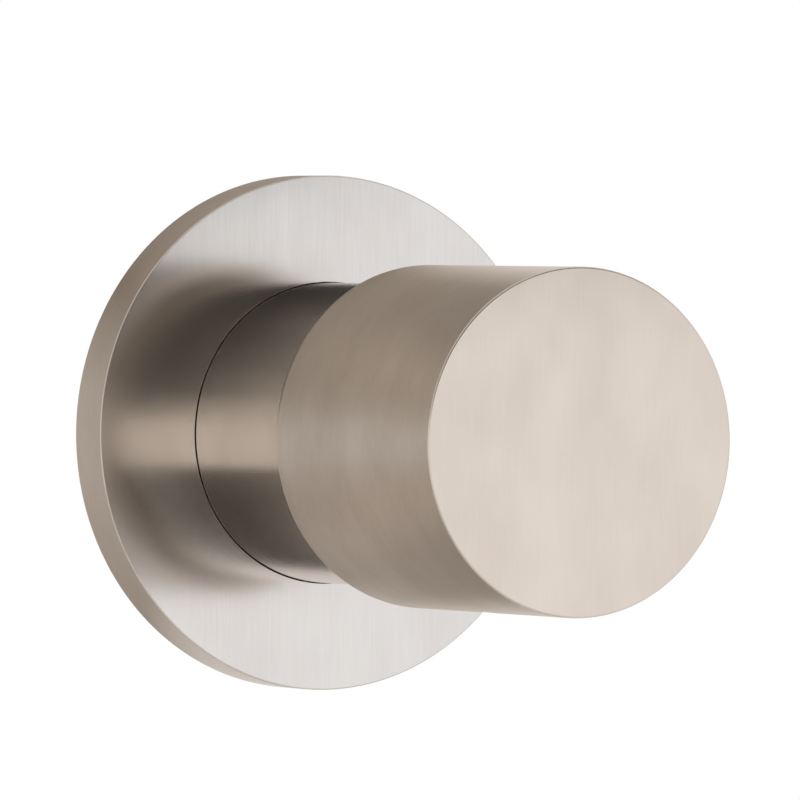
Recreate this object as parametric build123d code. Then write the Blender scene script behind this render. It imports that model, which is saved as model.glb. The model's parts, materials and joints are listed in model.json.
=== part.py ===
from build123d import *
import math
import os

# Concealed shut-off valve in millimetres. +Z is up and the flange rests on the wall plane y = 0.
# The room is at -Y and the inside of the wall at +Y. The knob's axis is the Y axis, so a depth is a y value.

# Wall flange and its seals
flange_radius = 30.0
flange_thickness = 6.0
flange_front_wall = 2.6
flange_sleeve_gap = 0.15
flange_groove_wall = 1.0
flange_rim_edge = 0.15
flange_bore_edge = 0.1
flange_relief_fillet = 0.3
gasket_width = 2.0
gasket_thickness = 1.2
gasket_rim = 1.0
gasket_land = 0.9
flange_ring_section = 2.0
flange_ring_inset = 2.4

# Neck tube
sleeve_radius = 17.5
sleeve_wall = 1.2
sleeve_edge_break = 0.3
neck_shown = 22.0
sleeve_in_knob = 5.6
sleeve_collar_gap = 3.98

# Knob
knob_radius = 19.7
knob_length = 35.8
knob_front_edge = 0.2
knob_rear_edge = 1.8
knob_mouth_gap = 0.4
knob_floor_gap = 0.3
knob_drill_angle = 118.0

# Splined insert in the knob
insert_radius = 8.0
insert_length = 20.5
insert_setback = 1.4
insert_wall_behind = 3.5
insert_edge_break = 0.6
insert_groove_depth = 0.9
insert_groove_width = 4.6
insert_groove_place = 0.48

# Grub screw, M5, from below
grub_radius = 2.5
grub_length = 8.0
grub_hex = 2.5
grub_hex_depth = 2.6
grub_point_radius = 1.0
grub_point_length = 1.4
grub_hole_edge = 0.5

# Glide ring on the neck tube's end
glide_flange = 0.9
glide_wall = 1.5
glide_tail = 4.0

# Fits, each the radial or axial room between two pieces
running_fit = 0.05
seat_fit = 0.03
thread_fit = 0.05
push_fit = 0.05
disc_film = 0.02

# Carrier barrel on the valve body
carrier_radius = 16.2
carrier_bore_radius = 13.3
carrier_collar_radius = 17.8
carrier_collar_length = 11.0
carrier_collar_flats = 32.0
carrier_setback = 9.5
carrier_edge_break = 0.5
carrier_ring_section = 1.8
carrier_ring_room = 0.4
carrier_front_ring = 4.0
carrier_rear_ring = 10.08

# Valve body, brass casting
pipe_axis_depth = 46.0
port_face_height = 34.0
port_hex = 27.0
port_hex_length = 14.0
port_hex_chamfer_angle = 30.0
port_hex_turn = 30.0
port_thread_radius = 9.3155
port_thread_length = 15.0
port_mouth_chamfer = 1.2
run_radius = 13.0
neck_radius = 13.0
neck_length = 10.5
neck_edge_break = 0.8
headwork_bore_radius = 9.9
barrel_radius = 16.8
barrel_length = 12.0
chamber_radius = 11.5
seat_depth = 42.0
seat_hole_radius = 5.6
passage_radius = 6.0
inlet_passage_offset = 4.0
outlet_passage_offset = -5.0
outlet_passage_reach = 8.5
cast_radius = 2.0

# Headwork bonnet
bonnet_hex = 22.0
bonnet_hex_length = 5.0
bonnet_hex_chamfer = 0.7
bonnet_flange_radius = 12.4
bonnet_flange_length = 1.0
bonnet_gasket_thickness = 1.5
bonnet_thread_length = 9.0
bonnet_nose_radius = 8.2
bonnet_nose_length = 7.0
bonnet_nose_edge = 0.6
cage_radius = 8.9
cage_wall = 1.2
cage_end_gap = 0.6
window_width = 10.4
ear_width = 4.0
ear_reach = 0.9

# Ceramic discs and seat seal
disc_thickness = 3.0
disc_window_inner = 1.6
disc_window_outer = 6.0
disc_window_angle = 76.0
seal_thickness = 2.5
seal_wall = 1.9

# Spindle
spindle_radius = 4.7
washer_thickness = 0.8
washer_radius = 7.0
collar_length = 3.0
collar_radius = 6.2
foot_thickness = 2.5
foot_width = 5.2
claw_width = 3.2
claw_thickness = 1.3
claw_reach = 1.8
claw_room = 0.1
foot_reach = 7.4
spindle_groove_floor = 3.55
spindle_ring_section = 1.15
spindle_ring_room = 0.35
spindle_front_ring = 5.0
spindle_rear_ring = 12.0
spindle_neck_shown = 2.2
circlip_thickness = 0.8
circlip_groove_depth = 0.6
circlip_radial_width = 1.9
circlip_opening = 5.0
circlip_lift = 0.15
spindle_spline_length = 10.0
spindle_edge_break = 0.4

# Splines, tip and root radii
teeth = 20
small_spline_tip = 4.0
small_spline_root = 3.6
large_spline_tip = 5.2
large_spline_root = 4.7
tooth_tip_share = 0.3
tooth_root_share = 0.3

# Extension, its screw and its guide
extension_socket_radius = 7.0
extension_guide_gap = 0.28
extension_shaft_radius = 5.6
extension_spline_shown = 1.0
extension_lift = 0.4
extension_shoulder_cone = 1.4
screw_radius = 2.0
screw_length = 50.0
screw_head_radius = 3.5
screw_head_length = 4.0
screw_hex = 3.0
screw_hex_depth = 2.0
screw_head_recess = 0.3
tapped_hole_spare = 2.0
guide_length = 9.0
guide_flange_radius = 14.8
guide_flange_length = 1.2
guide_edge_break = 0.5
guide_slot_width = 2.0

# How many flats an O-ring's section has
ring_flats = 8

# Depths worked out from the sizes, from the wall towards the room
flange_front = -flange_thickness
knob_rear = flange_front - neck_shown
knob_front = knob_rear - knob_length
sleeve_front = knob_rear - sleeve_in_knob
glide_front = sleeve_front - glide_flange
mouth_floor = glide_front - knob_floor_gap
insert_rear = mouth_floor - insert_setback
insert_front = insert_rear - insert_length
grub_depth = insert_rear - insert_length * insert_groove_place
carrier_front = sleeve_front + carrier_setback
guide_front = carrier_front - guide_flange_length
guide_rear = guide_front + guide_length
extension_shoulder_front = guide_rear + extension_guide_gap
extension_shoulder = extension_shoulder_front + extension_shoulder_cone

# Depths worked out from the sizes, from the seat towards the room
cage_end = seat_depth - cage_end_gap
fixed_disc_rear = seat_depth - seal_thickness
fixed_disc_front = fixed_disc_rear - disc_thickness
moving_disc_rear = fixed_disc_front - disc_film
moving_disc_front = moving_disc_rear - disc_thickness
foot_front = moving_disc_front - claw_room - foot_thickness
collar_front = foot_front - collar_length
washer_front = collar_front - running_fit - washer_thickness
bonnet_shoulder = washer_front - running_fit
neck_face = bonnet_shoulder - neck_length
body_shoulder = neck_face + neck_length
carrier_collar_front = body_shoulder - carrier_collar_length
sleeve_rear = carrier_collar_front - sleeve_collar_gap
bonnet_flange_rear = neck_face - bonnet_gasket_thickness
hex_rear = bonnet_flange_rear - bonnet_flange_length
hex_front = hex_rear - bonnet_hex_length
nose_front = hex_front - bonnet_nose_length
circlip_rear = nose_front - circlip_lift
circlip_front = circlip_rear - circlip_thickness
spline_rear = nose_front - spindle_neck_shown
spindle_front = spline_rear - spindle_spline_length
extension_rear = spline_rear - extension_lift
socket_floor = spindle_front - extension_lift
extension_front = insert_front + insert_wall_behind
extension_spline_rear = insert_rear + extension_spline_shown
screw_head_front = extension_front + screw_head_recess
screw_seat = screw_head_front + screw_head_length
screw_tip = screw_seat + screw_length
tapped_hole_floor = screw_tip + tapped_hole_spare

# Radii that follow from a mating piece
flange_bore_radius = sleeve_radius + flange_sleeve_gap
knob_mouth_radius = sleeve_radius + knob_mouth_gap
sleeve_bore_radius = sleeve_radius - sleeve_wall
bonnet_thread_radius = headwork_bore_radius - thread_fit
cage_bore_radius = cage_radius - cage_wall
disc_radius = cage_bore_radius - running_fit
spindle_bore_radius = spindle_radius + running_fit
insert_bore_radius = insert_radius + push_fit

# How near an edge lies to be picked, how far a cutter runs past a face, and the share of a wall for its edge
pick = 0.01
past = 1.0
edge_share = 0.9


def turned(*corners):
    """Solid turned about the Y axis from (radius, depth) corners."""
    return revolve(make_face(Polyline(*corners, close=True)), Axis.Y)


def ring(outer, inner, front, rear):
    """Plain ring or tube about the Y axis."""
    return turned((inner, front), (outer, front), (outer, rear), (inner, rear))


def rod(radius, front, rear):
    """Plain round bar on the Y axis."""
    return ring(radius, 0, front, rear)


def facing_in(depth):
    """Plane across the Y axis at a depth, whose normal points into the wall."""
    return Plane(origin=(0, depth, 0), x_dir=(1, 0, 0), z_dir=(0, 1, 0))


def prism(sketch, front, rear):
    """Sketch carried along the Y axis from one depth to another."""
    return extrude(facing_in(front) * sketch, amount=rear - front)


def hexagon(across_flats, turn=0):
    """Hexagon by its size across the flats."""
    return RegularPolygon(across_flats / 2, 6, major_radius=False, rotation=turn)


def rims(solid, radius, depth):
    """Circular edges about the Y axis with this radius at this depth."""
    circles = solid.edges().filter_by(GeomType.CIRCLE)
    return [e for e in circles if abs(e.radius - radius) < pick and abs(e.arc_center.Y - depth) < pick]


def broken(solid, size, *places):
    """Breaks the turned edges at these (radius, depth) places."""
    edges = [edge for radius, depth in places for edge in rims(solid, radius, depth)]
    return chamfer(edges, size)


def o_ring(inner, section, depth):
    """O-ring about the Y axis by its inner radius and section, which is drawn with flats."""
    section_face = RegularPolygon(section / 2, ring_flats, major_radius=False, rotation=180 / ring_flats)
    return revolve(Pos(inner + section / 2, depth, 0) * section_face, Axis.Y)


def spline(tip, root):
    """Outline of a straight-flanked spline."""
    pitch = 2 * math.pi / teeth
    tip_half = pitch * tooth_tip_share / 2
    root_half = pitch * (1 - tooth_root_share) / 2
    points = []
    for tooth in range(teeth):
        middle = tooth * pitch
        for radius, angle in ((root, -root_half), (tip, -tip_half), (tip, tip_half), (root, root_half)):
            points.append((radius * math.cos(middle + angle), radius * math.sin(middle + angle)))
    return make_face(Polyline(*points, close=True))


def sector_pair(inner, outer, angle, turn):
    """Two opposite ring sectors, the water windows of a disc."""
    reach = 2 * outer
    half = math.radians(angle / 2)
    corner = (reach * math.cos(half), reach * math.sin(half))
    wedge = make_face(Polyline((0, 0), corner, (corner[0], -corner[1]), close=True))
    band = Circle(outer) - Circle(inner)
    return [Rot(0, 0, turn + side) * (band & wedge) for side in (0, 180)]


def wall_flange():
    """Round cover plate, relieved at the back, with an O-ring groove in its collar."""
    relief_floor = flange_front + flange_front_wall
    groove_floor = sleeve_radius + seat_fit + flange_ring_section + running_fit
    collar_radius = groove_floor + flange_groove_wall
    gasket_outer = flange_radius - gasket_rim
    relief_radius = gasket_outer - gasket_width - gasket_land
    plate = turned(
        (flange_bore_radius, flange_front),
        (flange_radius, flange_front),
        (flange_radius, 0),
        (gasket_outer, 0),
        (gasket_outer, -gasket_thickness),
        (gasket_outer - gasket_width, -gasket_thickness),
        (gasket_outer - gasket_width, 0),
        (relief_radius, 0),
        (relief_radius, relief_floor),
        (collar_radius, relief_floor),
        (collar_radius, 0),
        (flange_bore_radius, 0),
    )
    groove_middle = -flange_ring_inset
    groove_half = flange_ring_section / 2 + running_fit
    near, far = groove_middle - groove_half, groove_middle + groove_half
    plate -= ring(groove_floor, flange_bore_radius - past, near, far)
    plate = broken(plate, flange_rim_edge, (flange_radius, flange_front))
    plate = broken(plate, flange_bore_edge, (flange_bore_radius, flange_front))
    corners = [edge for radius in (relief_radius, collar_radius) for edge in rims(plate, radius, relief_floor)]
    half_relief = (relief_radius - collar_radius) / 2
    return fillet(corners, min(flange_relief_fillet, half_relief * edge_share))


def flange_o_ring():
    """O-ring in the flange's collar that grips the neck tube."""
    return o_ring(sleeve_radius + seat_fit, flange_ring_section, -flange_ring_inset)


def wall_gasket():
    """Flat ring in the flange's back, flush with the wall plane."""
    outer = flange_radius - gasket_rim
    return ring(outer, outer - gasket_width, -gasket_thickness, 0)


def cover_sleeve():
    """Neck tube with broken ends."""
    tube = ring(sleeve_radius, sleeve_bore_radius, sleeve_front, sleeve_rear)
    ends = [(radius, depth) for radius in (sleeve_radius, sleeve_bore_radius)
            for depth in (sleeve_front, sleeve_rear)]
    return broken(tube, sleeve_edge_break, *ends)


def glide_ring():
    """Flanged plastic ring in the neck tube's end, on which the knob's mouth runs."""
    tail_radius = sleeve_bore_radius - push_fit
    inner = tail_radius - glide_wall
    rim_radius = knob_mouth_radius - running_fit
    return turned(
        (inner, glide_front),
        (rim_radius, glide_front),
        (rim_radius, sleeve_front),
        (tail_radius, sleeve_front),
        (tail_radius, sleeve_front + glide_tail),
        (inner, sleeve_front + glide_tail),
    )


def knob():
    """Solid knob with a mouth for the neck tube, a drilled bore and a tapped hole from below."""
    bore_floor = insert_front - knob_floor_gap
    cone = insert_bore_radius / math.tan(math.radians(knob_drill_angle / 2))
    body = turned(
        (0, knob_front),
        (knob_radius, knob_front),
        (knob_radius, knob_rear),
        (knob_mouth_radius, knob_rear),
        (knob_mouth_radius, mouth_floor),
        (insert_bore_radius, mouth_floor),
        (insert_bore_radius, bore_floor),
        (0, bore_floor - cone),
    )
    body = broken(body, knob_front_edge, (knob_radius, knob_front))
    rim_wall = knob_radius - knob_mouth_radius
    body = fillet(rims(body, knob_radius, knob_rear), min(knob_rear_edge, rim_wall * edge_share))
    body = broken(body, insert_edge_break, (insert_bore_radius, mouth_floor))
    body -= grub_column(grub_radius + thread_fit, 0, knob_radius + past)
    sink = Cone(grub_radius + thread_fit + grub_hole_edge, grub_radius + thread_fit, grub_hole_edge)
    return body - Pos(0, grub_depth, -knob_radius + grub_hole_edge / 2) * sink


def grub_column(radius, near, far):
    """Round column below the axis at the grub screw's depth, between two distances from the axis."""
    return extrude(Plane((0, grub_depth, -near), z_dir=(0, 0, -1)) * Circle(radius), amount=far - near)


def grub_screw():
    """Grub screw with hexagon socket and a cone point in the insert's groove."""
    tip = insert_radius - insert_groove_depth + seat_fit
    top = tip + grub_length
    shank = grub_column(grub_radius, tip + grub_point_length, top)
    point = Cone(grub_radius, grub_point_radius, grub_point_length)
    shank += Pos(0, grub_depth, -tip - grub_point_length / 2) * point
    socket = Plane((0, grub_depth, -top), z_dir=(0, 0, 1)) * hexagon(grub_hex)
    return shank - extrude(socket, amount=grub_hex_depth)


def knob_insert():
    """Splined bush with a V-groove for the grub screw."""
    bush = rod(insert_radius, insert_front, insert_rear)
    floor = insert_radius - insert_groove_depth
    half = insert_groove_width / 2
    bush -= turned(
        (floor, grub_depth - grub_point_radius - push_fit),
        (floor, grub_depth + grub_point_radius + push_fit),
        (insert_radius, grub_depth + half),
        (insert_radius + past, grub_depth + half),
        (insert_radius + past, grub_depth - half),
        (insert_radius, grub_depth - half),
    )
    bush = broken(bush, insert_edge_break, (insert_radius, insert_front), (insert_radius, insert_rear))
    socket = spline(large_spline_tip + push_fit, large_spline_root + push_fit)
    bush -= prism(socket, extension_front - push_fit, insert_rear)
    return bush - rod(large_spline_root, insert_front, insert_rear)


def spindle_extension():
    """Extension with a splined socket at the back and a splined end in the knob."""
    shaft = turned(
        (0, extension_spline_rear),
        (extension_shaft_radius, extension_spline_rear),
        (extension_shaft_radius, extension_shoulder_front),
        (extension_socket_radius, extension_shoulder),
        (extension_socket_radius, extension_rear),
        (0, extension_rear),
    )
    shaft += prism(spline(large_spline_tip, large_spline_root), extension_front, extension_spline_rear)
    shaft = broken(shaft, spindle_edge_break, (extension_socket_radius, extension_rear))
    socket = spline(small_spline_tip + push_fit, small_spline_root + push_fit)
    shaft -= prism(socket, socket_floor, extension_rear)
    shaft -= rod(screw_radius + push_fit, extension_front, socket_floor)
    return shaft - rod(screw_head_radius + push_fit, extension_front, screw_seat)


def extension_screw():
    """Cap screw with hexagon socket, from the extension's end into the spindle."""
    screw = rod(screw_head_radius, screw_head_front, screw_seat) + rod(screw_radius, screw_seat, screw_tip)
    screw = broken(screw, screw_head_recess, (screw_radius, screw_tip), (screw_head_radius, screw_head_front))
    return screw - prism(hexagon(screw_hex), screw_head_front, screw_head_front + screw_hex_depth)


def extension_guide():
    """Slotted plastic bush that centres the extension in the carrier."""
    bore = extension_shaft_radius + running_fit
    outer = carrier_bore_radius - push_fit
    bush = turned(
        (bore, guide_front),
        (guide_flange_radius, guide_front),
        (guide_flange_radius, carrier_front),
        (outer, carrier_front),
        (outer, guide_rear),
        (bore, guide_rear),
    )
    bush = broken(bush, guide_edge_break, (bore, guide_front), (outer, guide_rear))
    slot = Rectangle(guide_slot_width, 2 * outer)
    for turn in (0, 90):
        bush -= prism(Rot(0, 0, turn) * slot, carrier_front + guide_flange_length, guide_rear)
    return bush


def carrier_barrel():
    """Brass tube with a flatted collar, screwed on the body's neck, with two O-ring grooves."""
    thread_radius = neck_radius + thread_fit
    tube = turned(
        (carrier_bore_radius, carrier_front),
        (carrier_radius, carrier_front),
        (carrier_radius, carrier_collar_front),
        (carrier_collar_radius, carrier_collar_front),
        (carrier_collar_radius, body_shoulder),
        (thread_radius, body_shoulder),
        (thread_radius, neck_face),
        (carrier_bore_radius, neck_face),
    )
    places = [(carrier_radius, carrier_front), (carrier_collar_radius, carrier_collar_front)]
    tube = broken(tube, carrier_edge_break, *places, (carrier_collar_radius, body_shoulder))
    for depth in carrier_ring_depths():
        half = carrier_ring_section / 2 + carrier_ring_room / 2
        tube -= ring(carrier_radius + past, carrier_ring_floor(), depth - half, depth + half)
    across = 2 * (carrier_collar_radius + past)
    beside_flats = Rectangle(across, across) - Rectangle(carrier_collar_flats, across)
    return tube - prism(beside_flats, carrier_collar_front, body_shoulder)


def carrier_ring_depths():
    """Depths of the two O-rings on the carrier, each measured from its own end of the tube."""
    return carrier_front + carrier_front_ring, carrier_collar_front - carrier_rear_ring


def carrier_ring_floor():
    """Radius of the grooves' floor: the O-ring fills the room to the neck tube."""
    return sleeve_bore_radius - seat_fit - carrier_ring_section


def carrier_o_ring(depth):
    """O-ring on the carrier that holds the neck tube."""
    return o_ring(carrier_ring_floor(), carrier_ring_section, depth)


def valve_body():
    """In-line casting: round run with hexagon ends, barrel and threaded neck, cored waterways."""
    body = body_outside()
    return body - body_inside()


def body_outside():
    """Outer form of the casting with its blended junctions."""
    barrel_end = body_shoulder + barrel_length
    barrel = rod(barrel_radius, body_shoulder, barrel_end) + Pos(0, barrel_end, 0) * Sphere(barrel_radius)
    barrel -= rod(barrel_radius + past, body_shoulder - barrel_radius, body_shoulder)
    run = upright(run_radius, -port_face_height + pick, port_face_height - pick)
    body = barrel + run
    creases = [e for e in body.edges() if e.geom_type not in (GeomType.CIRCLE, GeomType.LINE)]
    body = fillet(creases, cast_radius)
    body += rod(neck_radius, neck_face, body_shoulder + past)
    body = broken(body, neck_edge_break, (neck_radius, neck_face))
    for side in (1, -1):
        body += port_hexagon(side)
    return body


def port_hexagon(side):
    """Hexagon end of a port, its face corners turned off."""
    inner_height = port_face_height - port_hex_length
    plane = Plane((0, pipe_axis_depth, side * inner_height), x_dir=(1, 0, 0), z_dir=(0, 0, side))
    nut = extrude(plane * hexagon(port_hex, port_hex_turn), amount=port_hex_length)
    corner = port_hex / 2 / math.cos(math.pi / 6)
    drop = (corner - port_hex / 2) * math.tan(math.radians(port_hex_chamfer_angle))
    cone_height = port_hex_length + drop
    slope = 1 / math.tan(math.radians(port_hex_chamfer_angle))
    wide = port_hex / 2 + cone_height * slope
    middle = side * (inner_height - drop + cone_height / 2)
    cone = Plane((0, pipe_axis_depth, middle), z_dir=(0, 0, side)) * Cone(wide, port_hex / 2, cone_height)
    return nut & cone


def upright(radius, low, high, offset=0):
    """Round bar parallel to the pipe axis, offset into the wall."""
    return extrude(Plane((0, pipe_axis_depth + offset, low)) * Circle(radius), amount=high - low)


def body_inside():
    """Waterways: threaded ports, inlet behind the seat, outlet out of the chamber."""
    port_floor = port_face_height - port_thread_length
    inside = upright(port_thread_radius, port_floor, port_face_height + past)
    inside += upright(port_thread_radius, -port_face_height - past, -port_floor)
    mouth = Cone(port_thread_radius, port_thread_radius + port_mouth_chamfer, port_mouth_chamfer)
    mouth_height = port_face_height - port_mouth_chamfer / 2
    for side in (1, -1):
        inside += Plane((0, pipe_axis_depth, side * mouth_height), z_dir=(0, 0, side)) * mouth
    inside += upright(passage_radius, -port_floor, 0, inlet_passage_offset)
    inside += Pos(0, pipe_axis_depth + inlet_passage_offset, 0) * Sphere(passage_radius)
    inside += upright(passage_radius, outlet_passage_reach, port_floor, outlet_passage_offset)
    inside += rod(headwork_bore_radius, neck_face - past, body_shoulder + past)
    inside += rod(chamber_radius, body_shoulder, seat_depth)
    return inside + rod(seat_hole_radius, seat_depth - past, pipe_axis_depth + inlet_passage_offset)


def bonnet():
    """Headwork body: nose, hexagon, thread and cage with two windows and two slots."""
    thread_rear = neck_face + bonnet_thread_length
    shell = turned(
        (spindle_bore_radius, nose_front),
        (bonnet_nose_radius, nose_front),
        (bonnet_nose_radius, hex_front + past),
        (bonnet_flange_radius, hex_rear),
        (bonnet_flange_radius, bonnet_flange_rear),
        (bonnet_thread_radius, bonnet_flange_rear),
        (bonnet_thread_radius, thread_rear),
        (cage_radius, thread_rear + bonnet_thread_radius - cage_radius),
        (cage_radius, cage_end),
        (cage_bore_radius, cage_end),
        (cage_bore_radius, bonnet_shoulder),
        (spindle_bore_radius, bonnet_shoulder),
    )
    nut = prism(hexagon(bonnet_hex), hex_front, hex_rear)
    nut = chamfered_hexagon(nut)
    shell += nut - rod(spindle_bore_radius, hex_front, hex_rear)
    shell = broken(shell, bonnet_nose_edge, (bonnet_nose_radius, nose_front))
    across = 2 * (cage_radius + past)
    window = Rectangle(window_width, across)
    shell -= prism(window, bonnet_shoulder + bonnet_nose_edge, moving_disc_front)
    slot = Rectangle(across, ear_width)
    return shell - prism(slot, fixed_disc_front, cage_end + past)


def chamfered_hexagon(nut):
    """Turns the front corners off the bonnet's hexagon."""
    corner = bonnet_hex / 2 / math.cos(math.pi / 6)
    cutter = turned(
        (0, hex_front),
        (corner - bonnet_hex_chamfer, hex_front),
        (corner + bonnet_hex_chamfer, hex_front + 2 * bonnet_hex_chamfer),
        (corner + bonnet_hex_chamfer, hex_rear),
        (0, hex_rear),
    )
    return nut & cutter


def bonnet_gasket():
    """Flat ring under the bonnet's flange."""
    return ring(bonnet_flange_radius, headwork_bore_radius + seat_fit, bonnet_flange_rear, neck_face)


def seat_seal():
    """Rubber ring between the fixed disc and the body's seat."""
    outer = cage_bore_radius - running_fit
    return ring(outer, outer - seal_wall, fixed_disc_rear, seat_depth)


def windows(front, rear, turn):
    """Cutters for the two water windows of a disc."""
    sectors = sector_pair(disc_window_inner, disc_window_outer, disc_window_angle, turn)
    return [prism(sector, front, rear) for sector in sectors]


def fixed_disc():
    """Ceramic disc keyed in the cage's slots by two ears, with two water windows."""
    disc = rod(disc_radius, fixed_disc_front, fixed_disc_rear)
    ears = Rectangle(2 * (cage_bore_radius + ear_reach), ear_width - 2 * running_fit)
    disc += prism(ears & Circle(cage_radius - running_fit), fixed_disc_front + running_fit, fixed_disc_rear)
    for cutter in windows(fixed_disc_front, fixed_disc_rear, 0):
        disc -= cutter
    return disc


def moving_disc():
    """Ceramic disc with notches for the claws, closed over the fixed disc at rest."""
    disc = rod(disc_radius, moving_disc_front, moving_disc_rear)
    for cutter in windows(moving_disc_front, moving_disc_rear, 90):
        disc -= cutter
    notch_floor = moving_disc_front + claw_reach + claw_room
    notch = Rectangle(2 * (claw_thickness + claw_room), claw_width + 2 * claw_room)
    for side in (1, -1):
        disc -= prism(Pos(side * foot_reach, 0, 0) * notch, moving_disc_front, notch_floor)
    return disc


def spindle():
    """Spindle: splined head, circlip and O-ring grooves, collar and a foot with two claws."""
    shaft = turned(
        (0, spline_rear),
        (spindle_radius, spline_rear),
        (spindle_radius, collar_front),
        (collar_radius, collar_front),
        (collar_radius, foot_front),
        (0, foot_front),
    )
    shaft += prism(spline(small_spline_tip, small_spline_root), spindle_front, spline_rear)
    shaft -= ring(spindle_radius + past, spindle_radius - circlip_groove_depth, circlip_front, circlip_rear)
    for depth in spindle_ring_depths():
        half = spindle_ring_section / 2 + spindle_ring_room / 2
        shaft -= ring(spindle_radius + past, spindle_groove_floor, depth - half, depth + half)
    foot = Rectangle(2 * foot_reach, foot_width) & Circle(foot_reach)
    foot_rear = foot_front + foot_thickness
    shaft += prism(foot, foot_front, foot_rear)
    ends = Circle(foot_reach) - Rectangle(2 * (foot_reach - claw_thickness), 2 * foot_reach)
    claws = ends & Rectangle(2 * foot_reach, claw_width)
    shaft += prism(claws, foot_front, foot_rear + claw_room + claw_reach)
    return shaft - rod(screw_radius + thread_fit, spindle_front, tapped_hole_floor)


def spindle_ring_depths():
    """Depths of the two O-rings on the spindle."""
    return nose_front + spindle_front_ring, nose_front + spindle_rear_ring


def spindle_o_ring(depth):
    """O-ring between spindle and bonnet."""
    inner = spindle_bore_radius - seat_fit - spindle_ring_section
    return o_ring(inner, spindle_ring_section, depth)


def circlip():
    """Open spring ring in the spindle's groove."""
    inner = spindle_radius - circlip_groove_depth + seat_fit
    clip = ring(inner + circlip_radial_width, inner, circlip_front + seat_fit, circlip_rear - seat_fit)
    reach = inner + circlip_radial_width + past
    mouth = Pos(0, reach / 2, 0) * Rectangle(circlip_opening, reach)
    return clip - prism(mouth, circlip_front, circlip_rear)


def slide_washer():
    """Plastic washer between the spindle's collar and the bonnet."""
    return ring(washer_radius, spindle_bore_radius + seat_fit, washer_front, collar_front - running_fit)


def build():
    """All pieces by node name."""
    carrier_rings = carrier_ring_depths()
    spindle_rings = spindle_ring_depths()
    return {
        "knob": knob(),
        "knob_insert": knob_insert(),
        "grub_screw": grub_screw(),
        "spindle_extension": spindle_extension(),
        "extension_screw": extension_screw(),
        "extension_guide": extension_guide(),
        "glide_ring": glide_ring(),
        "cover_sleeve": cover_sleeve(),
        "wall_flange": wall_flange(),
        "flange_o_ring": flange_o_ring(),
        "wall_gasket": wall_gasket(),
        "carrier_barrel": carrier_barrel(),
        "carrier_o_ring_front": carrier_o_ring(carrier_rings[0]),
        "carrier_o_ring_rear": carrier_o_ring(carrier_rings[1]),
        "valve_body": valve_body(),
        "bonnet": bonnet(),
        "bonnet_gasket": bonnet_gasket(),
        "spindle": spindle(),
        "spindle_o_ring_front": spindle_o_ring(spindle_rings[0]),
        "spindle_o_ring_rear": spindle_o_ring(spindle_rings[1]),
        "circlip": circlip(),
        "slide_washer": slide_washer(),
        "moving_disc": moving_disc(),
        "fixed_disc": fixed_disc(),
        "seat_seal": seat_seal(),
    }


os.makedirs("parts", exist_ok=True)
for name, piece in build().items():
    export_step(piece, f"parts/{name}.step")
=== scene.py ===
"""Looks of a concealed shut-off valve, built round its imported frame.

A length is in metres unless its name says mm.
"""
import json
import logging
import math
from dataclasses import dataclass
from enum import Enum
from typing import Any, Sequence

import bmesh
import bpy
from mathutils import Matrix, Vector


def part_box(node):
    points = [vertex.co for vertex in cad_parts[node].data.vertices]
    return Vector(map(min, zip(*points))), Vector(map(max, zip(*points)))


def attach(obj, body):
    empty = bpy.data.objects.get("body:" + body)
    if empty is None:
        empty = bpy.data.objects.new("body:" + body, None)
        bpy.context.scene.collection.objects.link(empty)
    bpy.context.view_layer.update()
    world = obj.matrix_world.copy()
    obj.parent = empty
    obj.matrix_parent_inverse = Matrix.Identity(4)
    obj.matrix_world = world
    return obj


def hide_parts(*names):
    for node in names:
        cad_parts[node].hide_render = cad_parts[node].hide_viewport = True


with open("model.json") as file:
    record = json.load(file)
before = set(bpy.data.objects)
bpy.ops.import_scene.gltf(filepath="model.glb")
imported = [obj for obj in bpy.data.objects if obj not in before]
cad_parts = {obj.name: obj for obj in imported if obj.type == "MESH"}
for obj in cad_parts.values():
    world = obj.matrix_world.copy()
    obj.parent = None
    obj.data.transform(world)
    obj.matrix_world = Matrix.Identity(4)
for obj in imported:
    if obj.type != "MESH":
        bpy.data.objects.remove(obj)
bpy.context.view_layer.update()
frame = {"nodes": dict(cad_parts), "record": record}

MM = 0.001
# A point nearer to the axis than this, in metres, is on it
ON_AXIS = 1e-9
# Share that each finer layer of a noise keeps of the one before
NOISE_ROUGHNESS = 0.6
# Places of a Mix node's sockets, whose names repeat
FACTOR, NUMBER_A, NUMBER_B, COLOUR_A, COLOUR_B, MIXED_COLOUR = 0, 2, 3, 6, 7, 2
LOG = logging.getLogger("shut_off_valve")
Material = bpy.types.Material
Node = bpy.types.Node
Piece = bpy.types.Object
Socket = bpy.types.NodeSocket
Tree = bpy.types.NodeTree


def linear(code: str) -> tuple[float, float, float, float]:
    """Turns an sRGB hex value to a linear colour.

    Args:
        code: Six hex digits after a hash sign.

    Returns:
        Red, green, blue and alpha for a shader socket.
    """
    # The curve of the sRGB standard
    channels = [int(code[place:place + 2], 16) / 255 for place in (1, 3, 5)]
    turned = [c / 12.92 if c <= 0.04045 else ((c + 0.055) / 1.055) ** 2.4 for c in channels]
    return (*turned, 1.0)


def add_node(tree: Tree, kind: str, inputs: dict[Any, Any] | None = None, **settings: Any) -> Node:
    """Adds a node with its settings, values and links.

    Args:
        tree: Tree that gets the node.
        kind: Blender's name for the node's type.
        inputs: Value, source socket or source node for each input, by name or place. A node gives its
            first output.
        **settings: Properties of the node.

    Returns:
        The new node.
    """
    node = tree.nodes.new(kind)
    for name, value in settings.items():
        setattr(node, name, value)
    for place, value in (inputs or {}).items():
        if isinstance(value, Node):
            value = value.outputs[0]
        if isinstance(value, Socket):
            tree.links.new(value, node.inputs[place])
        else:
            node.inputs[place].default_value = value
    return node


class Grain(Enum):
    """How a steel surface was brushed."""

    STRAIGHT = "straight"
    ROUND = "round"


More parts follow.
